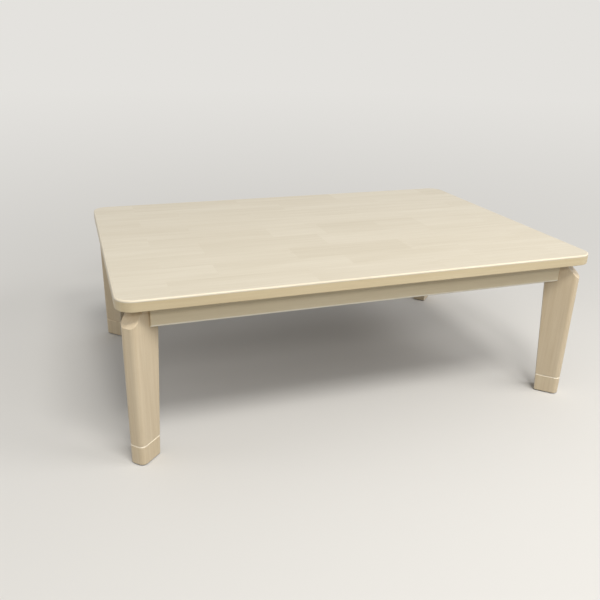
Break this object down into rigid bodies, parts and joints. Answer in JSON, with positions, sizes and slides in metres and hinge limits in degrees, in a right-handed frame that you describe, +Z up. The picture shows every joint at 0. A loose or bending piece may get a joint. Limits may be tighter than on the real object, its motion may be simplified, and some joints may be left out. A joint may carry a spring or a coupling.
{
  "type": "kotatsu table",
  "caption": "Kotatsu table with a loose round-cornered top on an apron frame, diagonal legs with push-on extensions, and a fan heater hung under the middle.",
  "frame": {"origin": "on the floor under the middle of the table", "axes": "+X along the long side, +Y to the rear long side, +Z up"},
  "size_m": [1.2, 0.8, 0.41],
  "materials": {
    "top_wood": "satin whitewashed veneer",
    "edge_wood": "satin whitewashed solid wood",
    "board": "raw particle board",
    "backing_board": "matte hardboard",
    "frame_wood": "satin whitewashed solid wood",
    "leg_wood": "satin whitewashed solid wood",
    "block_wood": "planed solid wood, no finish",
    "dowel_wood": "fluted beech, no finish",
    "slip_rubber": "matte",
    "felt": "pressed felt",
    "zinc_steel": "zinc plated",
    "insert_brass": "turned",
    "housing_steel": "galvanised sheet",
    "reflector_aluminium": "bright sheet",
    "quartz": "clear fused quartz",
    "coil_wire": "oxidised resistance wire",
    "cap_ceramic": "unglazed",
    "spring_steel": "spring steel",
    "lamination_steel": "laminated sheet",
    "winding_tape": "insulating tape",
    "guard_paint": "satin black, heat resistant",
    "fan_aluminium": "pressed",
    "rotor_steel": "turned",
    "inlet_plastic": "moulded",
    "pin_nickel": "nickel plated",
    "terminal_plastic": "moulded",
    "thermostat_plastic": "moulded",
    "fuse_case": "tinned",
    "wire_sleeve": "silicone sleeve"
  },
  "bodies": {
    "frame": {"front_apron": "frame_wood", "rear_apron": "frame_wood", "left_apron": "frame_wood", "right_apron": "frame_wood", "cross_rail_left": "block_wood", "cross_rail_right": "block_wood", "corner_block_front_left": "block_wood", "corner_block_front_right": "block_wood", "corner_block_rear_left": "block_wood", "corner_block_rear_right": "block_wood", "cross_rail_dowels": "dowel_wood", "corner_block_screws": "zinc_steel", "slip_pads": "slip_rubber", "leg_front_left": "leg_wood", "leg_front_right": "leg_wood", "leg_rear_left": "leg_wood", "leg_rear_right": "leg_wood", "leg_bolts": "zinc_steel", "leg_bolt_washers": "zinc_steel", "leg_inserts": "insert_brass", "heater_housing": "housing_steel", "heater_reflector": "reflector_aluminium", "heater_mount_screws": "zinc_steel", "quartz_tube": "quartz", "heating_coil": "coil_wire", "tube_end_caps": "cap_ceramic", "tube_clips": "spring_steel", "motor_brackets": "housing_steel", "motor_stator": "lamination_steel", "motor_winding": "winding_tape", "heater_guard": "guard_paint", "guard_rods": "guard_paint", "guard_screws": "zinc_steel", "cord_inlet": "inlet_plastic", "inlet_pins": "pin_nickel", "terminal_block": "terminal_plastic", "thermostat": "thermostat_plastic", "thermal_fuse": "fuse_case", "lead_wires": "wire_sleeve"},
    "tabletop": {"tabletop_face": "top_wood", "tabletop_rail_front": "edge_wood", "tabletop_rail_rear": "edge_wood", "tabletop_rail_left": "edge_wood", "tabletop_rail_right": "edge_wood", "tabletop_core": "board", "tabletop_backing": "backing_board"},
    "extension_front_left": {"leg_extension_front_left": "leg_wood", "extension_pins_front_left": "zinc_steel", "foot_pad_front_left": "felt"},
    "extension_front_right": {"leg_extension_front_right": "leg_wood", "extension_pins_front_right": "zinc_steel", "foot_pad_front_right": "felt"},
    "extension_rear_left": {"leg_extension_rear_left": "leg_wood", "extension_pins_rear_left": "zinc_steel", "foot_pad_rear_left": "felt"},
    "extension_rear_right": {"leg_extension_rear_right": "leg_wood", "extension_pins_rear_right": "zinc_steel", "foot_pad_rear_right": "felt"},
    "fan": {"fan_impeller": "fan_aluminium", "motor_rotor": "rotor_steel"}
  },
  "joints": [
    {"name": "tabletop_lift", "type": "slide", "parent": "frame", "child": "tabletop", "axis": [0, 0, 1], "range_m": [0, 0.15]},
    {"name": "extension_pull_front_left", "type": "slide", "parent": "frame", "child": "extension_front_left", "axis": [0, 0, -1], "range_m": [0, 0.04]},
    {"name": "extension_pull_front_right", "type": "slide", "parent": "frame", "child": "extension_front_right", "axis": [0, 0, -1], "range_m": [0, 0.04]},
    {"name": "extension_pull_rear_left", "type": "slide", "parent": "frame", "child": "extension_rear_left", "axis": [0, 0, -1], "range_m": [0, 0.04]},
    {"name": "extension_pull_rear_right", "type": "slide", "parent": "frame", "child": "extension_rear_right", "axis": [0, 0, -1], "range_m": [0, 0.04]},
    {"name": "fan_spin", "type": "hinge", "parent": "frame", "child": "fan", "pos_m": [0.015, 0, 0.36], "axis": [0, 0, 1], "continuous": true}
  ]
}
